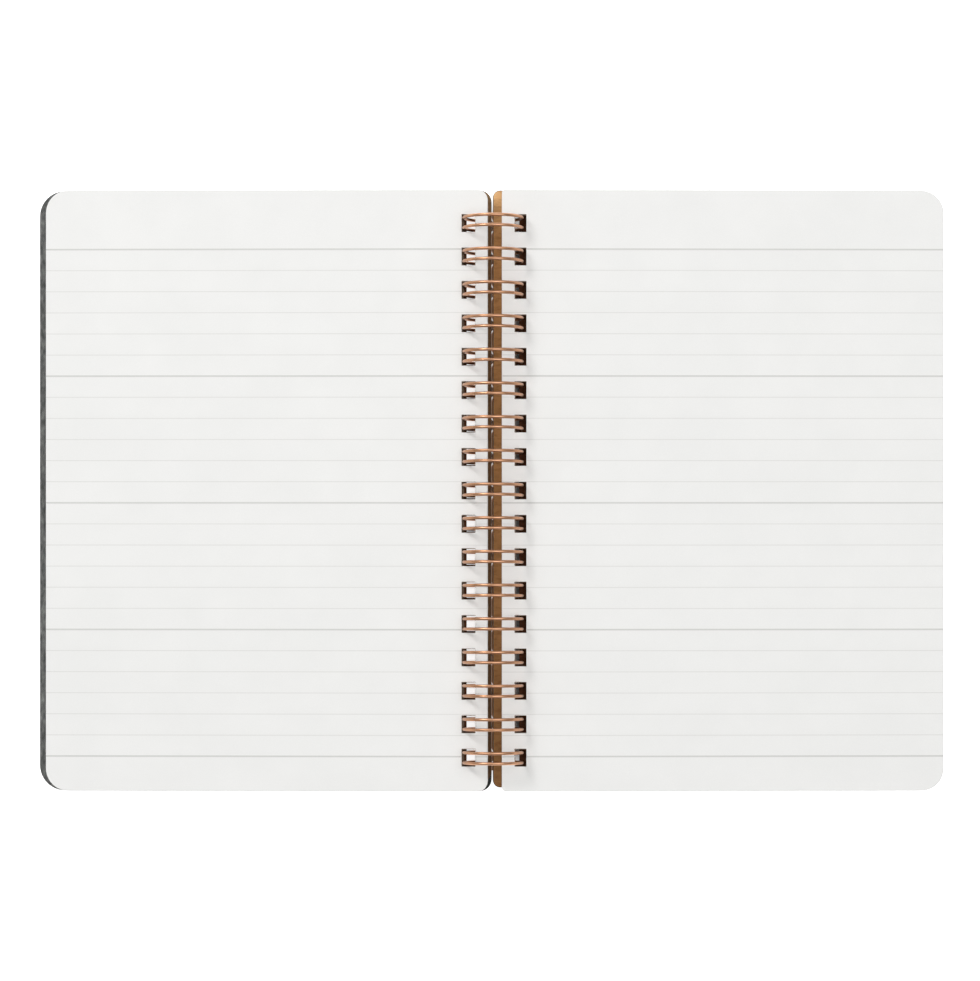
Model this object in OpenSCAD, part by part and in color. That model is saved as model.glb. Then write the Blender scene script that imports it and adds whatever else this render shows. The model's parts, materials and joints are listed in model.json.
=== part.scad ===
// Open notebook bound with one twin-loop wire, lying on a table.
// Origin: on the table, under the middle of the open notebook. X runs across both pages,
// Y up the page, Z up. Lengths are in millimetres and angles in degrees.

/* [Binding wire] */
// Diameter of the wire
wire_d = 1.2; // [0.9:0.05:1.4]
// Outer diameter of a closed loop
loop_od = 23.4; // [22:0.1:27]
// Distance between the two wires of one loop
twin_w = 3.85; // [3:0.05:4.2]
// Distance from one loop to the next
loop_pitch = 12.7; // [11:0.1:14]
// Radius of the bends at the foot of a loop
foot_r = 1.875; // [1.5:0.025:2.2]
// How much thicker the wire is where it is bent sharply
bend_swell = 0.02; // [0.01:0.005:0.05]
// Lean of the loops towards the head of the page
loop_lean = 2.4; // [0:0.1:4]
// Offset of the loops from the middle of their holes
loop_shift = 0.2; // [0:0.05:0.4]
// Length of the cut wire past the last bend at each end
end_stub = 1.5; // [0.5:0.1:2.5]

/* [Pages] */
// Width of a sheet
page_w = 168.2; // [120:0.1:190]
// Height of a sheet
page_h = 228.6; // [150:0.1:228.6]
// Thickness of the sheets on the left
left_block_t = 5.75; // [3:0.05:6.5]
// Thickness of the sheets on the right
right_block_t = 5.75; // [3:0.05:6.5]
// Radius of the corners at the fore edge
page_corner_r = 8.5; // [4:0.1:12]
// Radius of the left sheets' corners at the spine
left_spine_r = 3.6; // [1:0.1:6]
// Radius of the right sheets' corners at the spine
right_spine_r = 1.2; // [0.5:0.1:6]
// Distance from the loops' axis to the edge of the left sheets
left_page_in = 2.2; // [1:0.1:3.5]
// Distance from the loops' axis to the edge of the right sheets
right_page_in = 3.6; // [1:0.1:4.5]
// Gap left between the two facing pages when the notebook is closed
closed_gap = 0.4; // [0.3:0.05:1]

/* [Ruling] */
// Distance between two ruled lines
line_pitch = 8.04; // [6:0.01:10]
// Distance from the head of the page to the first line
head_margin = 22.4; // [10:0.1:40]
// Blank height left at the foot of the page
foot_margin = 12; // [8:0.1:30]
// Every line with this number is a heavy one
heavy_every = 6; // [2:1:8]
// Width of a fine line
fine_line_w = 0.3; // [0.1:0.05:0.5]
// Width of a heavy line
heavy_line_w = 0.6; // [0.2:0.05:0.8]
// Thickness of the printed ink
ink_t = 0.04; // [0.02:0.01:0.1]

/* [Covers] */
// Thickness of the cloth-covered board
board_t = 1.8; // [1:0.1:2.2]
// Radius of the rounding along the board's outer edges
board_edge_r = 0.2; // [0.1:0.05:0.45]
// Thickness of the lining paper
lining_t = 0.2; // [0.1:0.05:0.3]
// Air between a lining and the sheets on it
sheet_air = 0.05; // [0.02:0.01:0.2]
// Width of the front cover
front_cover_w = 173; // [130:0.1:195]
// Height of the front cover
front_cover_h = 229.4; // [155:0.1:240]
// Width of the back cover
back_cover_w = 171.4; // [130:0.1:195]
// Height of the back cover
back_cover_h = 228; // [155:0.1:240]
// How far the back cover sits towards the head
back_cover_shift = 0.7; // [-1:0.1:1]
// Radius of the covers' corners at the fore edge
cover_corner_r = 9.6; // [5:0.1:14]
// Radius of the front cover's corners at the spine
front_spine_r = 4.5; // [1:0.1:8]
// Radius of the back cover's corners at the spine
back_spine_r = 2.7; // [1:0.1:8]
// Distance from the loops' axis to the edge of the front cover
front_cover_in = 0.7; // [0.3:0.05:2]
// Distance from the loops' axis to the edge of the back cover
back_cover_in = 0.15; // [0.1:0.05:2]
// Bare cloth left round the front lining
front_margin = 3; // [1:0.1:8]
// Bare edge left round the back lining
back_margin = 0.3; // [0.1:0.1:8]
// Bare edge left along the spine side of both linings
spine_margin = 0.2; // [0.1:0.1:2]

/* [Holes] */
// Play between a pair of wires and the ends of its hole in a sheet
hole_end_play = 0.2; // [0.1:0.05:0.5]
// Play between a pair of wires and the ends of its hole in a cover
cover_end_play = 0.15; // [0.1:0.05:0.5]
// Play inside the wire in a left sheet
left_play_in = 1.95; // [0.2:0.05:2.5]
// Play outside the wire in a left sheet
left_play_out = 0.5; // [0.2:0.05:2]
// Play inside the wire in a right sheet
right_play_in = 0.25; // [0.2:0.05:2.5]
// Play outside the wire in a right sheet
right_play_out = 1.2; // [0.2:0.05:2]
// Play inside the wire in a cover
cover_play_in = 1.9; // [0.2:0.05:2.5]
// Play outside the wire in a cover
cover_play_out = 0.2; // [0.2:0.05:2]

/* [Hidden] */
$fn = 64;

copper = [0.80, 0.52, 0.40];
cloth_grey = [0.27, 0.28, 0.28];
kraft = [0.66, 0.50, 0.34];
paper_white = [0.95, 0.95, 0.93];
ink_grey = [0.82, 0.82, 0.80];

wire_r = wire_d / 2;
bend_wire_r = wire_r + bend_swell;
ring_r = (loop_od - wire_d) / 2;
// Length by which one stretch of wire runs into the next
wire_lap = 0.15;
lap_a = wire_lap / ring_r * 180 / PI;

// Holes fill the height of the page at the pitch, with one pitch left at head and foot
loops = round(page_h / loop_pitch) - 1;
function loop_y(i) = (i - (loops - 1) / 2) * loop_pitch;

// The two ends of a loop meet at the bottom: the foot bends on the right, the tip on the left
foot_a = atan(foot_r / ring_r);
tip_a = atan(twin_w / 2 / ring_r);
foot_drop = ring_r * cos(foot_a) * cos(loop_lean) + foot_r * sin(foot_a);
tip_drop = ring_r * cos(tip_a) * cos(loop_lean) + twin_w / 2 * sin(tip_a);
axis_z = max(foot_drop, tip_drop) + bend_wire_r;

// Depths are measured from the loops' axis towards the covers, square to the page
page_top = closed_gap / 2;
left_bottom = page_top + left_block_t;
right_bottom = page_top + right_block_t;
front_lining_top = left_bottom + sheet_air;
back_lining_top = right_bottom + sheet_air;
front_board_top = front_lining_top + lining_t;
back_board_top = back_lining_top + lining_t;
front_bottom = front_board_top + board_t;
back_bottom = back_board_top + board_t;

// Each half slopes down from the loops until its cover's rounded outer edge touches the table
front_out = front_cover_in + front_cover_w;
back_out = back_cover_in + back_cover_w;
function tilt(out, depth) =
    asin((axis_z - board_edge_r) / norm([out, depth])) - atan(depth / out);
function slope(out, depth) = tilt(out - board_edge_r, depth - board_edge_r);
front_slope = slope(front_out, front_bottom);
back_slope = slope(back_out, back_bottom);

// The origin is under the middle of the whole width
left_reach = max(front_out, left_page_in + page_w) * cos(front_slope);
right_reach = max(back_out, right_page_in + page_w) * cos(back_slope);
axis_x = (left_reach - right_reach) / 2;

// Holes start and end where the wire crosses the stack, with play on each side
inner_ring = ring_r - wire_r;
outer_ring = ring_r + wire_r;
function crossing(radius, depth) = sqrt(pow(radius, 2) - pow(depth, 2));
// Ends of a hole up and down the page. The lean shifts the wires most at the top of the loops
pair_half = (twin_w + wire_d) / 2;
top_reach = pair_half + loop_shift + ring_r * sin(loop_lean);
cover_drop = max(front_bottom, back_bottom) * sin(loop_lean);
sheet_ends = [-top_reach - hole_end_play, top_reach + hole_end_play];
cover_ends = [loop_shift - pair_half - cover_drop - cover_end_play, top_reach + cover_end_play];
left_hole = [crossing(inner_ring, left_bottom) - left_play_in, outer_ring + left_play_out];
right_hole = [crossing(inner_ring, right_bottom) - right_play_in, outer_ring + right_play_out];
front_hole = [crossing(inner_ring, front_bottom) - cover_play_in,
              crossing(outer_ring, front_lining_top) + cover_play_out];
back_hole = [crossing(inner_ring, back_bottom) - cover_play_in,
             crossing(outer_ring, back_lining_top) + cover_play_out];
// The linings are cut out as far as the holes of the sheets on them
front_lining_hole = [front_hole[0], max(front_hole[1], left_hole[1])];
back_lining_hole = [back_hole[0], max(back_hole[1], right_hole[1])];

lines = floor((page_h - head_margin - foot_margin) / line_pitch) + 1;
// Smallest radius cut at the corner of a lining
least_lining_r = 0.5;
// How far a cutting shape runs past what it cuts
cut_over = 1;

// Sheet outline with its spine edge on the Y axis
module sheet_outline(w, h, spine_r, fore_r) {
    translate([spine_r, -h / 2]) square([w - spine_r - fore_r, h]);
    translate([0, spine_r - h / 2]) square([spine_r, h - 2 * spine_r]);
    translate([w - fore_r, fore_r - h / 2]) square([fore_r, h - 2 * fore_r]);
    for (side = [-1, 1]) {
        translate([spine_r, side * (h / 2 - spine_r)]) circle(r = spine_r);
        translate([w - fore_r, side * (h / 2 - fore_r)]) circle(r = fore_r);
    }
}

// One hole at each loop, from the near to the far distance in span
module hole_row(span, ends = sheet_ends) {
    for (i = [0 : loops - 1])
        translate([span[0], loop_y(i) + ends[0]]) square([span[1] - span[0], ends[1] - ends[0]]);
}

// Layer between two depths, drawn as on the right-hand side of an axis along Y
module layer(top, bottom) {
    translate([0, 0, -bottom]) linear_extrude(height = bottom - top) children();
}

module left_half() {
    translate([axis_x, 0, axis_z]) rotate([0, -front_slope, 0]) mirror([1, 0, 0]) children();
}

module right_half() {
    translate([axis_x, 0, axis_z]) rotate([0, back_slope, 0]) children();
}

module page_outline(edge, spine_r, hole) {
    difference() {
        translate([edge, 0]) sheet_outline(page_w, page_h, spine_r, page_corner_r);
        hole_row(hole);
    }
}

module ruling_outline(edge, hole) {
    difference() {
        for (n = [0 : lines - 1]) {
            w = (n % heavy_every == 0) ? heavy_line_w : fine_line_w;
            translate([edge, page_h / 2 - head_margin - n * line_pitch - w / 2])
                square([page_w, w]);
        }
        hole_row(hole);
    }
}

// Section across the rim of a board, up to its rounded edge
module rim(reach) {
    square([reach - board_edge_r, board_t]);
    translate([0, board_edge_r]) square([reach, board_t - 2 * board_edge_r]);
    for (z = [board_edge_r, board_t - board_edge_r])
        translate([reach - board_edge_r, z]) circle(r = board_edge_r);
}

// Straight stretch of rim along Y, with its outside towards +X or -X
module rim_bar(side, reach, length) {
    translate([0, length / 2, 0]) rotate([90, 0, 0]) linear_extrude(height = length)
        mirror([side < 0 ? 1 : 0, 0]) rim(reach);
}

// Whole board with its spine edge on the Y axis and its outside at z = 0
module board(w, h, spine_r) {
    fore_r = cover_corner_r;
    flat_w = w - spine_r - fore_r;
    translate([spine_r, fore_r - h / 2, 0]) cube([flat_w, h - 2 * fore_r, board_t]);
    translate([spine_r, 0, 0]) rim_bar(-1, spine_r, h - 2 * spine_r);
    translate([w - fore_r, 0, 0]) rim_bar(1, fore_r, h - 2 * fore_r);
    for (end = [-1, 1]) {
        translate([spine_r + flat_w / 2, end * (h / 2 - fore_r), 0]) rotate([0, 0, 90])
            rim_bar(end, fore_r, flat_w);
        translate([spine_r, end * (h / 2 - spine_r), 0]) rotate([0, 0, end < 0 ? 180 : 90])
            rotate_extrude(angle = 90) rim(spine_r);
        translate([w - fore_r, end * (h / 2 - fore_r), 0]) rotate([0, 0, end < 0 ? -90 : 0])
            rotate_extrude(angle = 90) rim(fore_r);
    }
}

module cover(edge, w, h, shift, spine_r, hole, bottom) {
    translate([0, 0, -bottom]) difference() {
        translate([edge, shift, 0]) board(w, h, spine_r);
        translate([0, 0, -cut_over]) linear_extrude(height = board_t + 2 * cut_over)
            hole_row(hole, cover_ends);
    }
}

module lining_outline(edge, w, h, shift, spine_r, margin, hole) {
    difference() {
        translate([edge + spine_margin, shift])
            sheet_outline(w - spine_margin - margin, h - 2 * margin,
                          max(spine_r - margin, least_lining_r),
                          max(cover_corner_r - margin, least_lining_r));
        hole_row(hole);
    }
}

module front_cover() {
    color(cloth_grey) left_half()
        cover(front_cover_in, front_cover_w, front_cover_h, 0, front_spine_r,
              front_hole, front_bottom);
}

module front_lining() {
    color(kraft) left_half() layer(front_lining_top, front_board_top)
        lining_outline(front_cover_in, front_cover_w, front_cover_h, 0,
                       front_spine_r, front_margin, front_lining_hole);
}

module back_cover() {
    color(cloth_grey) right_half()
        cover(back_cover_in, back_cover_w, back_cover_h, back_cover_shift, back_spine_r,
              back_hole, back_bottom);
}

module back_lining() {
    color(kraft) right_half() layer(back_lining_top, back_board_top)
        lining_outline(back_cover_in, back_cover_w, back_cover_h, back_cover_shift,
                       back_spine_r, back_margin, back_lining_hole);
}

module left_pages() {
    color(paper_white) left_half() layer(page_top, left_bottom)
        page_outline(left_page_in, left_spine_r, left_hole);
}

module right_pages() {
    color(paper_white) right_half() layer(page_top, right_bottom)
        page_outline(right_page_in, right_spine_r, right_hole);
}

module left_ruling() {
    color(ink_grey) left_half() layer(page_top - ink_t, page_top)
        ruling_outline(left_page_in, left_hole);
}

module right_ruling() {
    color(ink_grey) right_half() layer(page_top - ink_t, page_top)
        ruling_outline(right_page_in, right_hole);
}

// Bent stretch of wire in the XY plane, from start_a round by turn
module bent_wire(bend_r, start_a, turn, r) {
    rotate([0, 0, start_a]) rotate_extrude(angle = turn) translate([bend_r, 0]) circle(r = r);
}

// One wire of a loop, from its foot on the right, over the top, to its tip on the left
module ring_wire() {
    rotate([90 - loop_lean, 0, 0])
        bent_wire(ring_r, foot_a - lap_a - 90, 360 - foot_a - tip_a + 2 * lap_a, wire_r);
}

// Where a ring wire ends, at an angle from the bottom
function ring_end(a) = ring_r * [sin(a), -cos(a) * sin(loop_lean), -cos(a) * cos(loop_lean)];

// Tight turn that joins the two wires of a loop at its tip
module tip_turn() {
    translate(ring_end(-tip_a)) rotate([0, tip_a, 0])
        bent_wire(twin_w / 2, -90, 180, bend_wire_r);
}

// Bend at the foot of a ring wire, and the straight wire that leads away from it
module foot(side, lead) {
    translate(ring_end(foot_a)) mirror([0, side < 0 ? 1 : 0, 0]) {
        translate([0, foot_r, 0]) rotate([0, 180 - foot_a, 0])
            bent_wire(foot_r, -90, 90, bend_wire_r);
        translate([-foot_r * cos(foot_a), foot_r - wire_lap, -foot_r * sin(foot_a)])
            rotate([-90, 0, 0]) cylinder(r = wire_r, h = lead + wire_lap);
    }
}

module loop_wires(i) {
    between = loop_pitch - twin_w - 2 * foot_r;
    translate([0, loop_y(i) + loop_shift, 0]) {
        for (side = [-1, 1]) translate([0, side * twin_w / 2, 0]) ring_wire();
        tip_turn();
        translate([0, twin_w / 2, 0]) foot(1, i < loops - 1 ? between + wire_lap : end_stub);
        translate([0, -twin_w / 2, 0]) foot(-1, i > 0 ? 0 : end_stub);
    }
}

module binding_wire() {
    color(copper) translate([axis_x, 0, axis_z])
        for (i = [0 : loops - 1]) loop_wires(i);
}

binding_wire();
front_cover();
front_lining();
left_pages();
left_ruling();
back_cover();
back_lining();
right_pages();
right_ruling();
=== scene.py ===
"""Looks of the open spiral notebook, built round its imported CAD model. Lengths are in metres."""
import json
import math
import random

import bmesh
import bpy
from mathutils import Matrix, Vector
from mathutils.geometry import tessellate_polygon


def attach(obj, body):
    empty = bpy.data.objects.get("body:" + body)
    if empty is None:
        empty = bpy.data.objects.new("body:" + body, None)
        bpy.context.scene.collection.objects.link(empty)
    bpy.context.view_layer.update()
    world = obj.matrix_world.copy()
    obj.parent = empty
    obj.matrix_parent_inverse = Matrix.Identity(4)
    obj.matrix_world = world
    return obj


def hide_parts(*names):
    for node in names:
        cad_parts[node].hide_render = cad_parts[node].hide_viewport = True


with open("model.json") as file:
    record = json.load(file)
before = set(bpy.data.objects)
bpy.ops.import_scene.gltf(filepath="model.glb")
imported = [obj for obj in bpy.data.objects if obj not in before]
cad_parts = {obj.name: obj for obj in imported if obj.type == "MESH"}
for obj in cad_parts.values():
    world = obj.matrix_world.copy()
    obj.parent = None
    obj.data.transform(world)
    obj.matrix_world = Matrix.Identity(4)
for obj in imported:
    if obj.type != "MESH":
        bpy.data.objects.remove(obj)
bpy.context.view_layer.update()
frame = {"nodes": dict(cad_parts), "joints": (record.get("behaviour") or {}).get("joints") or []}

MM = 0.001
LEFT, RIGHT = -1, 1

# The loops' axis, and the slope of each half of the open notebook down from it
JOINT = frame["joints"][0]["pos_m"]
AXIS = Vector((JOINT[0], 0, JOINT[2]))
SLOPES = {LEFT: math.radians(1.2808), RIGHT: math.radians(1.2969)}

# Binding wire: its loops, the two wires of each loop, the bends at their feet and its loose ends
LOOPS = 17
PITCH = 12.7 * MM
LOOP_SHIFT = 0.2 * MM
RING_R = 11.1 * MM
LEAN = math.radians(2.4)
TWIN_W = 3.85 * MM
FOOT_R = 1.875 * MM
END_STUB = 1.5 * MM
WIRE_R = 0.6 * MM
WIRE_SIDES = 16
RING_STEPS, FOOT_STEPS, TIP_STEPS = 100, 8, 14

# Sheets. Depths, here and below, are measured down from the loops' axis.
PAGE_W, PAGE_H = 168.2 * MM, 228.6 * MM
PAGE_CORNER_R = 8.5 * MM
PAGE_TOP, PAGE_BOTTOM = 0.2 * MM, 5.95 * MM
SHEETS = 52
SHEET_GAP = 0.012 * MM
GROOVE = 0.35 * MM
SLIP_X, SLIP_Y = 0.05 * MM, 0.06 * MM
# Share of the sheets whose cut edges get painted shade
SHADED_SHARE = 0.4

# Each stack's spine edge and ends of its holes, measured across the page from the axis, how much
# nearer the spine the holes of its lowest sheet end, and the slip of its top sheet
LEFT_STACK = {"edge": 2.2 * MM, "spine_r": 3.6 * MM, "hole": (6.70 * MM, 11.95 * MM),
              "fan": 0.75 * MM, "top_slip": (0, 0.15 * MM)}
RIGHT_STACK = {"edge": 3.6 * MM, "spine_r": 1.2 * MM, "hole": (8.41 * MM, 12.90 * MM),
               "fan": 0, "top_slip": (-0.2 * MM, 0.15 * MM)}

# Ruling: the space between its lines, the first one's distance from the head, and how often one
# is heavy
LINE_PITCH = 8.04 * MM
FIRST_LINE = 22.4 * MM
HEAVY_EVERY = 6

# Boards and the front lining
LINING_TOP, BOARD_TOP, BOARD_BOTTOM = 6.0 * MM, 6.2 * MM, 8.0 * MM
COVER_CORNER_R = 9.6 * MM
BOARD_EDGE_R = 0.2 * MM
BOARD_HOLE = (4.9 * MM, 10.24 * MM)
# Margin round the board's holes that is painted dark as painted shade
SHADE_ROUND = 3.2 * MM
FRONT_BOARD = {"edge": 0.7 * MM, "w": 173.0 * MM, "h": 229.4 * MM, "shift": 0,
               "spine_r": 4.5 * MM}
BACK_BOARD = {"edge": 0.15 * MM, "w": 171.4 * MM, "h": 228.0 * MM, "shift": 0.7 * MM,
              "spine_r": 2.7 * MM}
FRONT_LINING = {"edge": 0.9 * MM, "w": 169.8 * MM, "bottom": -111.7 * MM, "top": 114.55 * MM,
                "spine_r": 4.35 * MM, "fore_r": 12.0 * MM, "hole": (4.90 * MM, 12.20 * MM)}

# Ends of the holes up and down the page, from the middle of each loop's place
SHEET_ENDS = (-3.39 * MM, 3.39 * MM)
BOARD_ENDS = (-2.81 * MM, 3.34 * MM)

# Steps in the corners of sheets and boards, and in the rounded edges of boards
SHEET_STEPS, BOARD_STEPS, EDGE_STEPS = 10, 12, 4
LEAST_CORNER_R = 0.05 * MM
SMOOTH_DEG = 50

# Indexes of the materials after the first one, in a stack of sheets and in a board
CUT_EDGE_AT, PUNCHED_AT = 1, 2
SHADED_CORE_AT = 1

# Colours, mostly the darker and the lighter tone of a surface
WHITE = (1, 1, 1)
PAPER = (0.805, 0.807, 0.798), (0.825, 0.826, 0.817)
# Painted shade on the cut edges of some sheets
CUT_EDGE_SHADE = (0.56, 0.555, 0.535), (0.68, 0.675, 0.655)
# Painted shade of the walls inside the sheets' holes
PUNCHED_EDGE_SHADE = (0.16, 0.115, 0.08), (0.28, 0.215, 0.16)
LIGHT_INK, HEAVY_INK = (0.705, 0.705, 0.69), (0.62, 0.62, 0.605)
# Dark brown of the board in and round its holes, painted shade of the holes
PAINTED_CORE_SHADE = (0.085, 0.030, 0.013), (0.15, 0.056, 0.026)
CLOTH = (0.052, 0.054, 0.053), (0.135, 0.138, 0.134), (0.320, 0.325, 0.315)
# Painted shade of the turned-in cloth at the foot of the spine
CLOTH_SHADE = (0.012, 0.013, 0.011)
COPPER = (0.56, 0.297, 0.17), (0.625, 0.333, 0.192)
FLOOR = (0.955, 0.955, 0.955), (0.975, 0.975, 0.975)

# Kraft paper: its two tones and a pale tone of painted light at the head, its levels of painted
# shade at the foot and painted light at the head, where the painted light at the head begins, its
# flecks, and how bright each lining is, the front one darker as painted shade and the back one
# lighter as painted light
KRAFT_AND_HEAD_LIGHT = (0.27, 0.130, 0.047), (0.335, 0.162, 0.060), (0.50, 0.30, 0.142)
KRAFT_LIGHT_LEVELS = 0.74, 1.08
HEAD_LIGHT_START = 92 * MM
FLECKS = (0.36, (0.72, 0.66, 0.58)), (0.5, WHITE), (0.66, (1.12, 1.12, 1.1))
FRONT_SHADE_TONE, BACK_LIGHT_TONE = 0.42, 1.4

# Threads of the book cloth, and where the cloth turned in over the covers gets painted shade,
# towards the foot of the spine
THREAD, THREAD_WOBBLE = 0.62 * MM, 1.1 * MM
FOOT_SHADE_X = -18 * MM, -10 * MM
FOOT_SHADE_Y = -92 * MM, -106 * MM
FOOT_SHADE_Z = 5.1 * MM, 5.3 * MM

# Light of the room, how much it grows towards x, y and z, and its lamps: name, place, size, watts
ROOM_LEVEL = 0.26
ROOM_SLANT = (-0.035, 0.11, 0.27)
LAMP_COLOUR = (1, 0.995, 0.985)
LAMPS = (("key", (-1.25, 1.15, 1.60), 0.7, 24.5), ("fill", (0.60, 0.15, 1.80), 1.3, 14.8))

# Painted light of the floor, which glows though it is no lamp: its glow beside the notebook and
# below the spine and the left half, half the size of the notebook, the shares of that between which
# the glow beside it sets in, and the places across between which the other one does, with no glow
# under the right half
GLOW, SPINE_GLOW = 0.9, 0.74
HALF_SIZE = 172.6 * MM, 114.7 * MM
GLOW_RIM = 0.86, 0.97
SPINE_RIM = 5 * MM, -1 * MM
FLOOR_REACH, FLOOR_Z = 4.0, -0.05 * MM

# Camera, whose lens and sensor are in millimetres
CAMERA_PLACE = (-0.19 * MM, 0.1 * MM, 1302 * MM)
LENS, SENSOR = 124.6, 36
CLIP = 0.05, 20


def half_matrix(side):
    """Places a half whose local x runs across the sheet, from the loops' axis, and z up from it."""
    return Matrix.Translation(AXIS) @ Matrix.Rotation(side * SLOPES[side], 4, "Y")


def loop_y(i):
    return (i - (LOOPS - 1) / 2) * PITCH


def make_piece(name, verts, faces, material, body, matrix, smooth_deg=None):
    mesh = bpy.data.meshes.new(name)
    mesh.from_pydata([tuple(v) for v in verts], [], faces)
    mesh.transform(matrix)
    bm = bmesh.new()
    bm.from_mesh(mesh)
    bmesh.ops.recalc_face_normals(bm, faces=bm.faces)
    bm.to_mesh(mesh)
    bm.free()
    if smooth_deg is not None:
        mesh.shade_smooth()
        mesh.set_sharp_from_angle(angle=math.radians(smooth_deg))
    mesh.materials.append(material)
    obj = bpy.data.objects.new(name, mesh)
    bpy.context.scene.collection.objects.link(obj)
    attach(obj, body)
    return obj


# Outlines

def arc(x, y, radius, start, steps):
    """Quarter turn from a start in degrees."""
    angles = [math.radians(start + 90 * k / steps) for k in range(steps + 1)]
    return [(x + radius * math.cos(a), y + radius * math.sin(a)) for a in angles]


def sheet_outline(edge, w, h, spine_r, fore_r, shift=0.0, inset=0.0, steps=SHEET_STEPS):
    """Counter-clockwise outline of a sheet whose spine edge lies at x = edge."""
    x0, x1 = edge + inset, edge + w - inset
    y0, y1 = shift - h / 2 + inset, shift + h / 2 - inset
    rs, rf = max(spine_r - inset, LEAST_CORNER_R), max(fore_r - inset, LEAST_CORNER_R)
    return (arc(x1 - rf, y0 + rf, rf, 270, steps) + arc(x1 - rf, y1 - rf, rf, 0, steps)
            + arc(x0 + rs, y1 - rs, rs, 90, steps) + arc(x0 + rs, y0 + rs, rs, 180, steps))


def hole_outlines(near, far, ends, grow=0.0):
    """Clockwise outlines of the row of holes between two distances from the axis."""
    low, high = ends[0] - grow, ends[1] + grow
    return [[(near - grow, loop_y(i) + low), (near - grow, loop_y(i) + high),
             (far + grow, loop_y(i) + high), (far + grow, loop_y(i) + low)]
            for i in range(LOOPS)]


def cap_triangles(loops):
    return tessellate_polygon([[Vector((x, y, 0)) for x, y in loop] for loop in loops])


def stitch(verts, faces, rings, side):
    """Walls between successive copies of the same closed loops, each copy (loops, z)."""
    starts = []
    for loops, z in rings:
        starts.append(len(verts))
        verts.extend((side * x, y, z) for loop in loops for x, y in loop)
    for low, high in zip(starts, starts[1:]):
        at = 0
        for loop in rings[0][0]:
            n = len(loop)
            for k in range(n):
                a, b = at + k, at + (k + 1) % n
                faces.append((low + a, low + b, high + b, high + a))
            at += n
    return starts


# Materials. Noise scales are in cells to the metre.

class Shader:
    """A material's node tree, with short calls for the nodes that the surfaces share."""

    def __init__(self, name):
        self.material = bpy.data.materials.new(name)
        self.material.use_nodes = True
        self.nodes = self.material.node_tree.nodes
        self.bsdf = self.nodes["Principled BSDF"]
        self.coords = self.nodes.new("ShaderNodeTexCoord").outputs["Object"]

    def put(self, socket, value):
        if isinstance(value, bpy.types.NodeSocket):
            self.material.node_tree.links.new(value, socket)
        else:
            socket.default_value = value

    def set(self, **sockets):
        for name, value in sockets.items():
            self.put(self.bsdf.inputs[name.replace("_", " ")], value)

    def noise(self, scale, detail=3.0, rough=0.5, stretch=(1, 1, 1), distortion=0.0):
        mapping = self.nodes.new("ShaderNodeMapping")
        mapping.inputs["Scale"].default_value = stretch
        self.put(mapping.inputs["Vector"], self.coords)
        node = self.nodes.new("ShaderNodeTexNoise")
        for name, value in (("Vector", mapping.outputs["Vector"]), ("Scale", scale),
                            ("Detail", detail), ("Roughness", rough),
                            ("Distortion", distortion)):
            self.put(node.inputs[name], value)
        return node.outputs["Fac"]

    def math(self, operation, *values):
        node = self.nodes.new("ShaderNodeMath")
        node.operation = operation
        for socket, value in zip(node.inputs, values):
            self.put(socket, value)
        return node.outputs[0]

    def ramp(self, value, *stops):
        """Colour ramp from (place, colour) stops."""
        node = self.nodes.new("ShaderNodeValToRGB")
        elements = node.color_ramp.elements
        while len(elements) < len(stops):
            elements.new(0.5)
        for element, (place, colour) in zip(elements, stops):
            element.position = place
            element.color = (*colour, 1.0)
        self.put(node.inputs["Fac"], value)
        return node.outputs["Color"]

    def tint(self, value, first, second, start=0.3, end=0.7):
        return self.ramp(value, (start, first), (end, second))

    def between(self, value, start, end, low, high):
        """Goes from low to high while the value goes from start to end."""
        node = self.nodes.new("ShaderNodeMapRange")
        for name, amount in (("Value", value), ("From Min", start), ("From Max", end),
                             ("To Min", low), ("To Max", high)):
            self.put(node.inputs[name], amount)
        return node.outputs["Result"]

    def grey(self, value, low, high):
        return self.between(value, 0.0, 1.0, low, high)

    def mix(self, factor, a, b, blend="MIX"):
        node = self.nodes.new("ShaderNodeMix")
        node.data_type = "RGBA"
        node.blend_type = blend
        inputs = {socket.identifier: socket for socket in node.inputs}
        self.put(inputs["Factor_Float"], factor)
        for name, colour in (("A_Color", a), ("B_Color", b)):
            from_node = isinstance(colour, bpy.types.NodeSocket)
            self.put(inputs[name], colour if from_node else (*colour, 1.0))
        return next(s for s in node.outputs if s.identifier == "Result_Color")

    def shade(self, strength, colour, factor):
        return self.mix(strength, colour, factor, "MULTIPLY")

    def bump(self, height, distance, strength):
        node = self.nodes.new("ShaderNodeBump")
        node.inputs["Strength"].default_value = strength
        node.inputs["Distance"].default_value = distance
        self.put(node.inputs["Height"], height)
        return node.outputs["Normal"]

    def axis(self, index):
        node = self.nodes.new("ShaderNodeSeparateXYZ")
        self.put(node.inputs[0], self.coords)
        return node.outputs[index]


def flat_grey(level):
    return (level, level, level)


def paper_material():
    s = Shader("page_paper")
    cloud, fibre = s.noise(60, detail=2), s.noise(2600, detail=1.5, rough=0.6)
    fibres = s.tint(fibre, flat_grey(0.93), WHITE, 0.2, 0.8)
    s.set(Base_Color=s.shade(0.5, s.tint(cloud, *PAPER), fibres),
          Roughness=s.grey(fibre, 0.78, 0.92), Specular_IOR_Level=0.3,
          Normal=s.bump(fibre, distance=0.01 * MM, strength=0.35))
    return s.material


def cut_edge_shade_material():
    """Cut edge of a sheet, painted darker as painted shade, as if it lay a little in the shade of
    its neighbours.
    """
    s = Shader("cut_edge_painted_shade")
    fibre = s.noise(900, detail=2, rough=0.6)
    s.set(Base_Color=s.tint(fibre, *CUT_EDGE_SHADE), Roughness=0.9)
    return s.material


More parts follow.
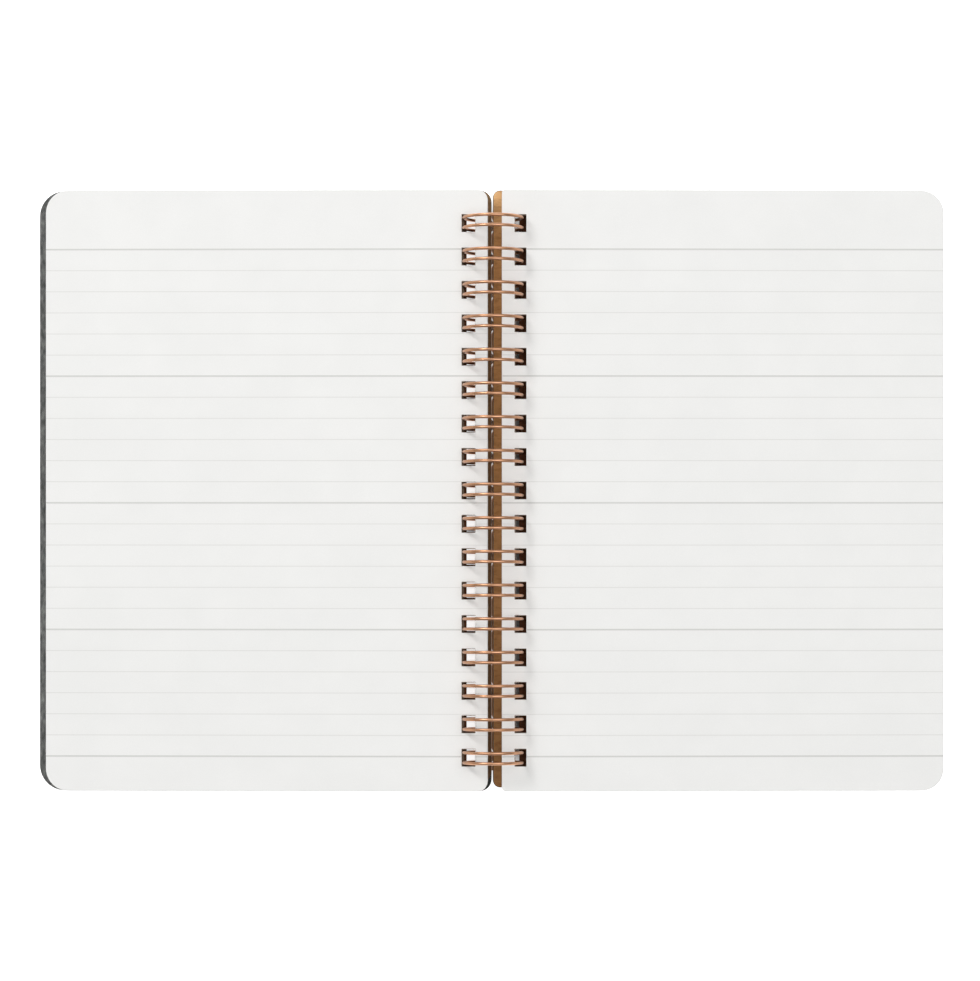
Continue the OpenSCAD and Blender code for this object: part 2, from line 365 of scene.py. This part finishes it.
def punched_shade_material():
    """Rough edges of the sheets inside the punched holes, painted dark as painted shade of the
    holes.
    """
    s = Shader("punched_edge_painted_shade")
    fibre = s.noise(1500, detail=2, rough=0.6, stretch=(1, 1, 3))
    s.set(Base_Color=s.tint(fibre, *PUNCHED_EDGE_SHADE), Roughness=0.95)
    return s.material


def ruling_material():
    """Ink that is darker on every line whose turn it is, counted from the head."""
    s = Shader("ruling_ink")
    down = s.math("SUBTRACT", PAGE_H / 2 - FIRST_LINE + LINE_PITCH / 2, s.axis(1))
    index = s.math("FLOOR", s.math("DIVIDE", down, LINE_PITCH))
    turn = s.math("MODULO", s.math("ADD", index, 0.5), HEAVY_EVERY)
    heavy = s.math("LESS_THAN", turn, 1.0)
    grain = s.tint(s.noise(1800, detail=2), flat_grey(0.93), WHITE)
    s.set(Base_Color=s.shade(0.5, s.mix(heavy, LIGHT_INK, HEAVY_INK), grain), Roughness=0.8)
    return s.material


def core_shade_material():
    """Very dark brown board inside the cover, which shows round and in its holes; its darkness is
    painted shade of the deep holes.
    """
    s = Shader("board_core_painted_shade")
    fibre = s.noise(1100, rough=0.6, stretch=(0.4, 1, 1))
    s.set(Base_Color=s.tint(fibre, *PAINTED_CORE_SHADE), Roughness=s.grey(fibre, 0.85, 0.95),
          Normal=s.bump(fibre, distance=0.03 * MM, strength=0.5), Specular_IOR_Level=0.2)
    return s.material


def weave(s):
    """Height of a plain weave, lower between the threads and higher on them."""
    warp = s.noise(220, detail=2)
    strands = []
    for index in (0, 1):
        place = s.math("ADD", s.axis(index), s.math("MULTIPLY", warp, THREAD_WOBBLE))
        strands.append(s.math("SINE", s.math("MULTIPLY", place, 2 * math.pi / THREAD)))
    return s.grey(s.math("MULTIPLY", *strands), 0.35, 0.65)


def cloth_material():
    s = Shader("book_cloth")
    height = weave(s)
    slub = s.noise(900, rough=0.6, stretch=(1, 0.35, 1))
    level = s.math("ADD", s.math("MULTIPLY", height, 0.45), s.math("MULTIPLY", slub, 0.55))
    colour = s.ramp(level, *zip((0.34, 0.50, 0.66), CLOTH))
    colour = s.shade(0.5, colour, s.tint(s.noise(45), flat_grey(0.86), WHITE))
    # Painted shade on the turned-in cloth near the foot of the spine
    inside = s.between(s.axis(2), *FOOT_SHADE_Z, 0.0, 1.0)
    shaded_corner = s.math("MULTIPLY", s.between(s.axis(0), *FOOT_SHADE_X, 0.0, 1.0),
                    s.between(s.axis(1), *FOOT_SHADE_Y, 0.0, 0.9))
    colour = s.mix(s.math("MULTIPLY", inside, shaded_corner), colour, CLOTH_SHADE)
    s.set(Base_Color=colour, Roughness=s.grey(slub, 0.75, 0.95), Specular_IOR_Level=0.25,
          Normal=s.bump(level, distance=0.12 * MM, strength=0.7),
          Sheen_Weight=0.15, Sheen_Roughness=0.5)
    return s.material


def kraft_material(name, light_tone):
    """Kraft paper, paler near the head as painted light and darker towards the foot as painted
    shade, and scaled by a tone that is painted shade on the front lining and painted light on the
    back.
    """
    s = Shader(name)
    fibre = s.noise(700, detail=5, rough=0.65, stretch=(0.35, 1, 1), distortion=0.6)
    dark, light, painted_pale = [tuple(light_tone * c for c in shade) for shade in KRAFT_AND_HEAD_LIGHT]
    # Painted light towards the head, and painted shade towards the foot
    head_light = s.between(s.axis(1), HEAD_LIGHT_START, PAGE_H / 2, 0.0, 1.0)
    colour = s.mix(s.math("MULTIPLY", head_light, head_light), s.tint(s.noise(70), dark, light), painted_pale)
    level = s.between(s.axis(1), -PAGE_H / 2, PAGE_H / 2, *KRAFT_LIGHT_LEVELS)
    s.set(Base_Color=s.shade(0.8, s.shade(1.0, colour, level), s.ramp(fibre, *FLECKS)),
          Roughness=s.grey(fibre, 0.78, 0.92), Specular_IOR_Level=0.3,
          Normal=s.bump(fibre, distance=0.03 * MM, strength=0.5))
    return s.material


def copper_material():
    s = Shader("copper_wire")
    grain = s.noise(2400, rough=0.6)
    s.set(Base_Color=s.tint(s.noise(160), *COPPER), Roughness=s.grey(grain, 0.26, 0.38),
          Metallic=1.0, Normal=s.bump(grain, distance=0.01 * MM, strength=0.25),
          Coat_Weight=0.15, Coat_Roughness=0.25)
    return s.material


# Sheets

def stack_rings(name, edge, spine_r, hole, fan, top_slip):
    """Loops of a stack from its top sheet down, and which of its sheets get painted shade on their
    cut edges.

    Each sheet lies a hair out of line with the next one and is parted from it by a groove.
    """
    rng = random.Random(name)
    thick = (PAGE_BOTTOM - PAGE_TOP) / SHEETS
    rings, shaded = [], []
    for n in range(SHEETS):
        far = hole[1] - fan * n / SHEETS
        groove, flush = [[sheet_outline(edge, PAGE_W, PAGE_H, spine_r, PAGE_CORNER_R, inset=inset)]
                         + hole_outlines(hole[0], far, SHEET_ENDS, inset)
                         for inset in (GROOVE, 0.0)]
        slip = (rng.gauss(0, SLIP_X), rng.gauss(0, SLIP_Y)) if n else top_slip
        shaded.append(rng.random() < SHADED_SHARE)
        moved = [[(x + slip[0], y + slip[1]) for x, y in loop] for loop in flush]
        top = -PAGE_TOP - n * thick
        bottom = top - thick + SHEET_GAP
        rings += [(groove, top), (moved, top), (moved, bottom), (groove, bottom)]
    return rings[1:-1], shaded


def make_sheets(name, side, body, leaf, **shape):
    """A stack of sheets as one closed mesh.

    The leaf holds the materials of the paper, of cut edges with painted shade and of the holes'
    walls with painted shade.
    """
    rings, shaded = stack_rings(name, **shape)
    verts, faces = [], []
    starts = stitch(verts, faces, rings, side)
    walls = len(faces)
    for start, (loops, _) in ((starts[0], rings[0]), (starts[-1], rings[-1])):
        faces.extend(tuple(start + k for k in tri) for tri in cap_triangles(loops))
    piece = make_piece(name, verts, faces, leaf[0], body, half_matrix(side))
    for material in leaf[1:]:
        piece.data.materials.append(material)
    outline, *holes = rings[0][0]
    band = len(outline) + sum(len(hole) for hole in holes)
    for k in range(walls):
        sheet, part = divmod(k // band, 4)
        # Walls inside the holes get painted shade
        if k % band >= len(outline):
            piece.data.polygons[k].material_index = PUNCHED_AT
        # Painted shade on the cut edges of the sheets picked for it
        elif part == 0 and shaded[sheet]:
            piece.data.polygons[k].material_index = CUT_EDGE_AT
    return piece


# Boards and lining

def board_rings(edge, w, h, shift, spine_r):
    """Outlines of a board from its lower face, round both its edges, to its upper face."""
    rounding = []
    for k in range(EDGE_STEPS + 1):
        a = math.radians(90 * k / EDGE_STEPS)
        rounding.append((BOARD_EDGE_R * (1 - math.sin(a)), BOARD_EDGE_R * (1 - math.cos(a))))
    levels = [(inset, -BOARD_BOTTOM + rise) for inset, rise in rounding]
    levels += [(inset, -BOARD_TOP - rise) for inset, rise in reversed(rounding)]
    return [([sheet_outline(edge, w, h, spine_r, COVER_CORNER_R, shift, inset, BOARD_STEPS)], z)
            for inset, z in levels]


def board_window():
    """Clockwise outline of the part round a board's row of holes."""
    x0, x1 = BOARD_HOLE[0] - SHADE_ROUND, BOARD_HOLE[1] + SHADE_ROUND
    y1 = loop_y(LOOPS - 1) + BOARD_ENDS[1] + SHADE_ROUND
    return [(x0, -y1), (x0, y1), (x1, y1), (x1, -y1)]


def board_mesh(side, rings):
    """Corners and faces of a board, and the indexes of the faces that get painted shade.

    Its lower and upper sides reach to a window, whose corners are vertices of their own, and go
    on from there to the holes. The walls of the holes and the upper window get the dark board
    material, painted shade of the holes.
    """
    outline, window = rings[0][0][0], board_window()
    holes = hole_outlines(*BOARD_HOLE, BOARD_ENDS)
    round_window = cap_triangles([outline, window])
    round_holes = cap_triangles([window[::-1]] + holes)
    verts, faces = [], []
    starts = stitch(verts, faces, rings, side)
    n, corners = len(outline), []
    for start, (_, z) in ((starts[0], rings[0]), (starts[-1], rings[-1])):
        at = len(verts)
        corners.append(at)
        verts.extend((side * x, y, z) for x, y in window)
        faces.extend(tuple(start + k if k < n else at + k - n for k in tri)
                     for tri in round_window)
    walls_from = len(faces)
    walls = stitch(verts, faces, [(holes, rings[0][1]), (holes, rings[-1][1])], side)
    shaded_faces = list(range(walls_from, len(faces)))
    for at, wall in zip(corners, walls):
        window_from = len(faces)
        faces.extend(tuple(at + 3 - k if k < 4 else wall + k - 4 for k in tri)
                     for tri in round_holes)
    shaded_faces += range(window_from, len(faces))
    return verts, faces, shaded_faces


def make_board(name, side, body, cloth, shaded_core, **shape):
    """A cloth-covered board."""
    verts, faces, shaded_faces = board_mesh(side, board_rings(**shape))
    piece = make_piece(name, verts, faces, cloth, body, half_matrix(side),
                       SMOOTH_DEG)
    piece.data.materials.append(shaded_core)
    # Painted shade in and round the board's holes
    for k in shaded_faces:
        piece.data.polygons[k].material_index = SHADED_CORE_AT
    return piece


def make_lining(name, side, body, material, edge, w, bottom, top, spine_r, fore_r, hole):
    """Kraft paper pasted on the inside of a board, between two heights up the page."""
    outline = sheet_outline(edge, w, top - bottom, spine_r, fore_r, (top + bottom) / 2)
    loops = [outline] + hole_outlines(*hole, SHEET_ENDS)
    verts, faces = [], []
    starts = stitch(verts, faces, [(loops, -LINING_TOP), (loops, -BOARD_TOP)], side)
    caps = cap_triangles(loops)
    faces.extend(tuple(start + k for k in tri) for start in starts for tri in caps)
    return make_piece(name, verts, faces, material, body, half_matrix(side))


# Wire

def ring_point(phi, y):
    """Point on a loop at an angle from its right side, for a wire whose middle lies at y."""
    return Vector((RING_R * math.cos(phi), y + RING_R * math.sin(phi) * math.sin(LEAN),
                   RING_R * math.sin(phi) * math.cos(LEAN)))


def spread(start, end, steps):
    return [start + (end - start) * k / steps for k in range(steps + 1)]


def foot_bend(foot, foot_a, way):
    """Bend from a foot to the straight wire beside it, towards the page's head or, at -1, foot."""
    return [foot + Vector((-math.cos(t) * FOOT_R * math.cos(foot_a),
                           way * (FOOT_R + math.sin(t) * FOOT_R),
                           -math.cos(t) * FOOT_R * math.sin(foot_a)))
            for t in spread(-math.pi / 2, 0, FOOT_STEPS)]


def tip_turn(tip, tip_a):
    """Half turn at a loop's tip, without the ends, which are the ends of its two wires."""
    return [tip + Vector((math.cos(t) * math.cos(tip_a), math.sin(t),
                          -math.cos(t) * math.sin(tip_a))) * (TWIN_W / 2)
            for t in spread(-math.pi / 2, math.pi / 2, TIP_STEPS)[1:-1]]


def wire_path():
    """Middle line of the wire, about the loops' axis, from the foot of the page to its head."""
    foot_a, tip_a = math.atan(FOOT_R / RING_R), math.atan(TWIN_W / 2 / RING_R)
    up = spread(foot_a - math.pi / 2, 1.5 * math.pi - tip_a, RING_STEPS)
    path = []
    for i in range(LOOPS):
        middle = loop_y(i) + LOOP_SHIFT
        near, far = middle - TWIN_W / 2, middle + TWIN_W / 2
        lead_in = foot_bend(ring_point(up[0], near), foot_a, -1)[::-1]
        if i == 0:
            path.append(lead_in[0] - Vector((0, END_STUB, 0)))
        path += lead_in[:-1]
        path += [ring_point(a, near) for a in up]
        path += tip_turn(ring_point(up[-1], middle), tip_a)
        path += [ring_point(a, far) for a in reversed(up)]
        path += foot_bend(ring_point(up[0], far), foot_a, 1)[1:]
    path.append(path[-1] + Vector((0, END_STUB, 0)))
    return path


def make_wire(material):
    """A round wire along its path, with closed ends."""
    path = wire_path()
    last = len(path) - 1
    turns = [2 * math.pi * s / WIRE_SIDES for s in range(WIRE_SIDES)]
    verts, faces = [], []
    across = Vector((1, 0, 0))
    for k, point in enumerate(path):
        along = (path[min(k + 1, last)] - path[max(k - 1, 0)]).normalized()
        across = (across - along * across.dot(along)).normalized()
        other = along.cross(across)
        verts += [point + (across * math.cos(a) + other * math.sin(a)) * WIRE_R for a in turns]
    for k in range(last):
        for s in range(WIRE_SIDES):
            a, b = k * WIRE_SIDES + s, k * WIRE_SIDES + (s + 1) % WIRE_SIDES
            faces.append((a, b, b + WIRE_SIDES, a + WIRE_SIDES))
    faces += [tuple(at * WIRE_SIDES + s for s in range(WIRE_SIDES)) for at in (0, last)]
    return make_piece("wire_binding", verts, faces, material, "wire",
                      Matrix.Translation(AXIS), SMOOTH_DEG)


# Studio

def make_room():
    """White room that is brighter towards the head and from above, and its two lamps."""
    world = bpy.data.worlds.new("studio")
    bpy.context.scene.world = world
    world.use_nodes = True
    nodes, link = world.node_tree.nodes, world.node_tree.links.new
    bright = nodes.new("ShaderNodeVectorMath")
    bright.operation = "DOT_PRODUCT"
    bright.inputs[1].default_value = ROOM_SLANT
    link(nodes.new("ShaderNodeTexCoord").outputs["Generated"], bright.inputs[0])
    level = nodes.new("ShaderNodeMath")
    level.operation = "ADD"
    level.inputs[1].default_value = ROOM_LEVEL
    link(bright.outputs["Value"], level.inputs[0])
    link(level.outputs[0], nodes["Background"].inputs["Strength"])
    nodes["Background"].inputs["Color"].default_value = (*WHITE, 1)
    for lamp in LAMPS:
        area_light(*lamp)


def area_light(name, place, size, watts):
    """Square lamp that points at the middle of the notebook."""
    light = bpy.data.lights.new(name, "AREA")
    light.shape = "SQUARE"
    light.size = size
    light.energy = watts
    light.color = LAMP_COLOUR
    obj = bpy.data.objects.new(name, light)
    obj.location = place
    obj.rotation_euler = (-Vector(place)).to_track_quat("-Z", "Y").to_euler()
    bpy.context.scene.collection.objects.link(obj)


def floor_glow(s):
    """Painted light: the floor glows beside the notebook and under its spine and left half, and not
    under the right half.
    """
    shares = [s.math("DIVIDE", s.math("ABSOLUTE", s.axis(index)), half)
              for index, half in enumerate(HALF_SIZE)]
    beside = s.between(s.math("MAXIMUM", *shares), *GLOW_RIM, 0.0, GLOW)
    left = s.between(s.axis(0), *SPINE_RIM, 0.0, SPINE_GLOW)
    return s.math("MAXIMUM", beside, left)


def make_floor():
    s = Shader("floor_white")
    # Emission of the floor is painted light
    s.set(Base_Color=s.tint(s.noise(8, detail=1), *FLOOR), Roughness=0.9,
          Emission_Strength=floor_glow(s), Emission_Color=(*WHITE, 1))
    mesh = bpy.data.meshes.new("floor")
    corners = [(x * FLOOR_REACH, y * FLOOR_REACH, FLOOR_Z)
               for x, y in ((-1, -1), (1, -1), (1, 1), (-1, 1))]
    mesh.from_pydata(corners, [], [(0, 1, 2, 3)])
    mesh.materials.append(s.material)
    floor = bpy.data.objects.new("floor", mesh)
    bpy.context.scene.collection.objects.link(floor)


def make_camera():
    """Camera straight above the notebook, as in the photo."""
    camera = bpy.data.objects.new("camera", bpy.data.cameras.new("camera"))
    camera.data.lens = LENS
    camera.data.sensor_width = SENSOR
    camera.data.clip_start, camera.data.clip_end = CLIP
    camera.location = CAMERA_PLACE
    bpy.context.scene.collection.objects.link(camera)
    bpy.context.scene.camera = camera


def main():
    bpy.context.scene.view_settings.view_transform = "Standard"
    make_room()
    make_floor()
    make_camera()

    leaf = paper_material(), cut_edge_shade_material(), punched_shade_material()
    cloth, shaded_core, ink = cloth_material(), core_shade_material(), ruling_material()
    kraft_front_painted_shade = kraft_material("kraft_front_painted_shade", FRONT_SHADE_TONE)

    wire = make_wire(copper_material())
    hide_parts("binding_wire")
    left = make_sheets("sheets_left", LEFT, "left_sheets", leaf, **LEFT_STACK)
    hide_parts("left_pages")
    right = make_sheets("sheets_right", RIGHT, "right_sheets", leaf, **RIGHT_STACK)
    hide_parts("right_pages")
    front = make_board("board_front", LEFT, "front", cloth, shaded_core, **FRONT_BOARD)
    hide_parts("front_cover")
    back = make_board("board_back", RIGHT, "back", cloth, shaded_core, **BACK_BOARD)
    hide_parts("back_cover")
    lining = make_lining("lining_front", LEFT, "front", kraft_front_painted_shade, **FRONT_LINING)
    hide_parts("front_lining")

    for node, material in (("back_lining", kraft_material("kraft_back_painted_light", BACK_LIGHT_TONE)),
                           ("left_ruling", ink), ("right_ruling", ink)):
        slots = frame["nodes"][node].data.materials
        slots.clear()
        slots.append(material)


main()
